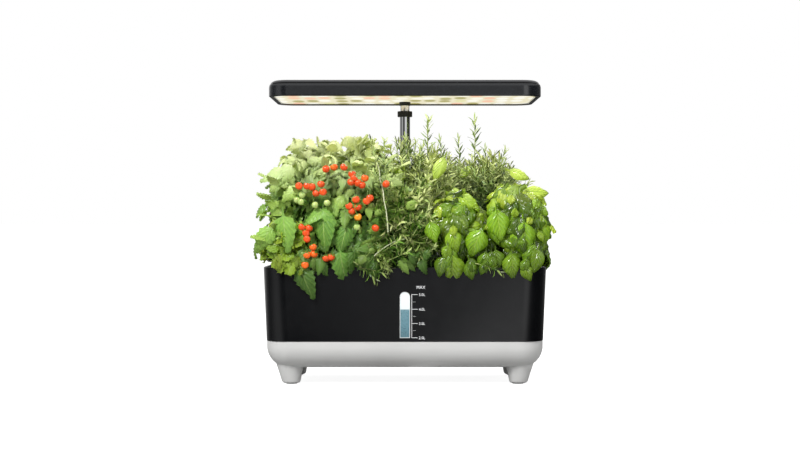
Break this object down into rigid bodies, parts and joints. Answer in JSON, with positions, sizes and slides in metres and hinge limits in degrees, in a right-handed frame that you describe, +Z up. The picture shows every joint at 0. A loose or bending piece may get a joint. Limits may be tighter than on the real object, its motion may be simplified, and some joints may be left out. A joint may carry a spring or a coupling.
{
  "type": "countertop hydroponic garden",
  "caption": "Water tank on a round-edged footed base, with a deck of planted net cups, a level window and a grow lamp on a telescoping mast.",
  "frame": {"origin": "on the table, under the middle of the tank", "axes": "+Z up, +X to the right seen from the front, -Y towards the front with the level window"},
  "size_m": [0.3762, 0.1975, 0.3758],
  "materials": {
    "grey_plastic": "satin",
    "rubber": "matte",
    "black_plastic": "satin",
    "lamp_plastic": "satin",
    "clear_plastic": "gloss",
    "chrome": "polished",
    "steel": "satin",
    "lit_panel": "gloss",
    "board_metal": "matte",
    "board_green": "satin",
    "button_grey": "satin",
    "grow_foam": "matte",
    "lettuce_leaf": "matte",
    "tomato_leaf": "matte",
    "herb_leaf": "matte",
    "basil_leaf": "satin",
    "rosemary_leaf": "matte"
  },
  "bodies": {
    "base": {"base_shell": "grey_plastic", "foot_front_left": "grey_plastic", "foot_front_right": "grey_plastic", "foot_rear_left": "grey_plastic", "foot_rear_right": "grey_plastic", "pad_front_left": "rubber", "pad_front_right": "rubber", "pad_rear_left": "rubber", "pad_rear_right": "rubber", "reservoir": "black_plastic", "level_window": "clear_plastic", "window_gasket": "rubber", "pump_body": "black_plastic", "pump_cover": "black_plastic"},
    "deck": {"grow_deck": "black_plastic", "hatch_pin": "steel", "basket_1": "black_plastic", "basket_2": "black_plastic", "basket_3": "black_plastic", "basket_4": "black_plastic", "basket_5": "black_plastic", "basket_6": "black_plastic", "basket_7": "black_plastic", "basket_8": "black_plastic", "basket_9": "black_plastic", "sponge_1": "grow_foam", "sponge_2": "grow_foam", "sponge_3": "grow_foam", "sponge_4": "grow_foam", "sponge_5": "grow_foam", "sponge_6": "grow_foam", "sponge_7": "grow_foam", "sponge_8": "grow_foam", "sponge_9": "grow_foam", "plant_1": "lettuce_leaf", "plant_2": "tomato_leaf", "plant_3": "herb_leaf", "plant_4": "basil_leaf", "plant_5": "basil_leaf", "plant_6": "tomato_leaf", "plant_7": "tomato_leaf", "plant_8": "rosemary_leaf", "plant_9": "rosemary_leaf", "mast_socket": "black_plastic", "mast_lower_tube": "chrome", "mast_collar": "black_plastic"},
    "hatch": {"refill_hatch": "black_plastic"},
    "lamp": {"mast_upper_tube": "chrome", "lamp_boss": "black_plastic", "lamp_bezel": "lamp_plastic", "lamp_cover": "lamp_plastic", "lamp_diffuser": "lit_panel", "led_board": "board_metal", "control_board": "board_green", "dc_inlet": "black_plastic"},
    "light_key": {"light_button": "button_grey"},
    "pump_key": {"pump_button": "button_grey"},
    "impeller": {"pump_impeller": "button_grey"}
  },
  "joints": [
    {"name": "deck_lift", "type": "slide", "parent": "base", "child": "deck", "axis": [0, 0, 1], "range_m": [0, 0.12]},
    {"name": "hatch_hinge", "type": "hinge", "parent": "deck", "child": "hatch", "pos_m": [0.146, 0.0606, 0.1439], "axis": [-1, 0, 0], "range_deg": [0, 95]},
    {"name": "mast_slide", "type": "slide", "parent": "deck", "child": "lamp", "axis": [0, 0, 1], "range_m": [0, 0.15]},
    {"name": "light_button_press", "type": "slide", "parent": "lamp", "child": "light_key", "axis": [0, 0, -1], "range_m": [0, 0.0008], "stiffness_N_per_m": 800, "springref_m": -0.001},
    {"name": "pump_button_press", "type": "slide", "parent": "lamp", "child": "pump_key", "axis": [0, 0, -1], "range_m": [0, 0.0008], "stiffness_N_per_m": 800, "springref_m": -0.001},
    {"name": "impeller_spin", "type": "hinge", "parent": "base", "child": "impeller", "pos_m": [0, 0.04, 0.0428], "axis": [0, -1, 0], "continuous": true}
  ]
}
